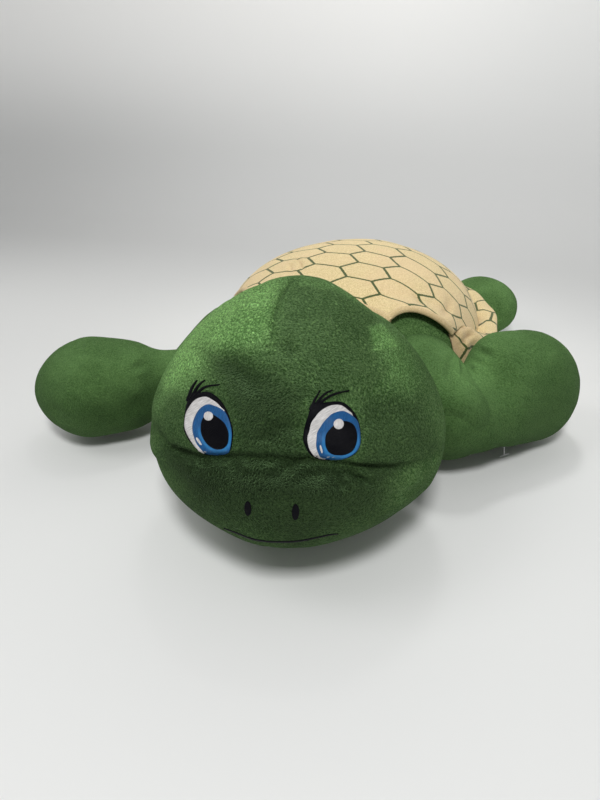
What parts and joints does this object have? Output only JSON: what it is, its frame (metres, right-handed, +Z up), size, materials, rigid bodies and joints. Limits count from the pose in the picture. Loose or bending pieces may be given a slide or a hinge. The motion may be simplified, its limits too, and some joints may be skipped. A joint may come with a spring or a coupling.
{
  "type": "plush tortoise",
  "caption": "Stuffed green plush tortoise lying on its belly, with a hexagon-printed shell cover, embroidered face, flippers and a tail that give at their seams.",
  "frame": {"origin": "middle of the flat belly, on the surface that the toy lies on", "axes": "+Z up, -Y the way the head looks, +X the toy's own left"},
  "size_m": [0.4406, 0.5088, 0.179],
  "materials": {
    "green_plush": "short-pile velour, mid green, matte with a soft sheen at the rims",
    "shell_cloth": "sand-coloured velour printed with an olive green hexagon lattice",
    "hem_cloth": "the shell cloth turned over",
    "fibre": "white polyester fibre",
    "white_thread": "white satin stitch with a slight gloss",
    "blue_thread": "blue satin stitch with a slight gloss",
    "black_thread": "black satin stitch with a slight gloss",
    "clear_plastic": "clear nylon"
  },
  "bodies": {
    "torso": {"torso_skin": "green_plush", "torso_filling": "fibre", "shell_top": "shell_cloth", "shell_brim": "shell_cloth", "armhole_hem_left": "hem_cloth", "armhole_hem_right": "hem_cloth", "neck_hem": "hem_cloth"},
    "neck": {"neck_skin": "green_plush", "neck_filling": "fibre"},
    "head": {"head_skin": "green_plush", "head_filling": "fibre", "mouth": "black_thread", "eye_left_outline": "black_thread", "eye_left_white": "white_thread", "eye_left_iris": "blue_thread", "eye_left_pupil": "black_thread", "eye_left_highlight": "white_thread", "eye_left_glint": "white_thread", "eye_right_outline": "black_thread", "eye_right_white": "white_thread", "eye_right_iris": "blue_thread", "eye_right_pupil": "black_thread", "eye_right_highlight": "white_thread", "eye_right_glint": "white_thread", "nostril_left": "black_thread", "nostril_right": "black_thread"},
    "tail": {"tail_skin": "green_plush", "tail_filling": "fibre"},
    "upper_arm_left": {"upper_arm_left_skin": "green_plush", "upper_arm_left_filling": "fibre"},
    "flipper_left": {"flipper_left_skin": "green_plush", "flipper_left_filling": "fibre", "tag_fastener": "clear_plastic"},
    "rear_flipper_left": {"rear_flipper_left_skin": "green_plush", "rear_flipper_left_filling": "fibre"},
    "upper_arm_right": {"upper_arm_right_skin": "green_plush", "upper_arm_right_filling": "fibre"},
    "flipper_right": {"flipper_right_skin": "green_plush", "flipper_right_filling": "fibre"},
    "rear_flipper_right": {"rear_flipper_right_skin": "green_plush", "rear_flipper_right_filling": "fibre"}
  },
  "joints": [
    {"name": "neck_nod", "type": "hinge", "parent": "torso", "child": "neck", "pos_m": [-0.001, -0.121, 0.074], "axis": [-1, 0, 0], "range_deg": [0, 10]},
    {"name": "head_turn", "type": "hinge", "parent": "neck", "child": "head", "pos_m": [-0.001, -0.121, 0.074], "axis": [0, 0, 1], "range_deg": [-10, 3]},
    {"name": "shoulder_lift_left", "type": "hinge", "parent": "torso", "child": "upper_arm_left", "pos_m": [0.0704, -0.08607, 0.058], "axis": [0, -1, 0], "range_deg": [0, 14]},
    {"name": "flipper_sweep_left", "type": "hinge", "parent": "upper_arm_left", "child": "flipper_left", "pos_m": [0.09589, -0.12115, 0.04799], "axis": [0, 0, 1], "range_deg": [-30, 0]},
    {"name": "rear_flipper_lift_left", "type": "hinge", "parent": "torso", "child": "rear_flipper_left", "pos_m": [0.06898, 0.09032, 0.034], "axis": [0.6947, -0.7193, 0], "range_deg": [0, 12]},
    {"name": "shoulder_lift_right", "type": "hinge", "parent": "torso", "child": "upper_arm_right", "pos_m": [-0.09355, -0.0601, 0.058], "axis": [0, 1, 0], "range_deg": [0, 14]},
    {"name": "flipper_sweep_right", "type": "hinge", "parent": "upper_arm_right", "child": "flipper_right", "pos_m": [-0.10989, -0.0986, 0.04278], "axis": [0, 0, -1], "range_deg": [-8, 20]},
    {"name": "rear_flipper_lift_right", "type": "hinge", "parent": "torso", "child": "rear_flipper_right", "pos_m": [-0.03769, 0.10722, 0.034], "axis": [0.8829, 0.4695, 0], "range_deg": [0, 12]},
    {"name": "tail_wag", "type": "hinge", "parent": "torso", "child": "tail", "pos_m": [0.02002, 0.12642, 0.034], "axis": [0, 0, 1], "range_deg": [-20, 20]}
  ]
}
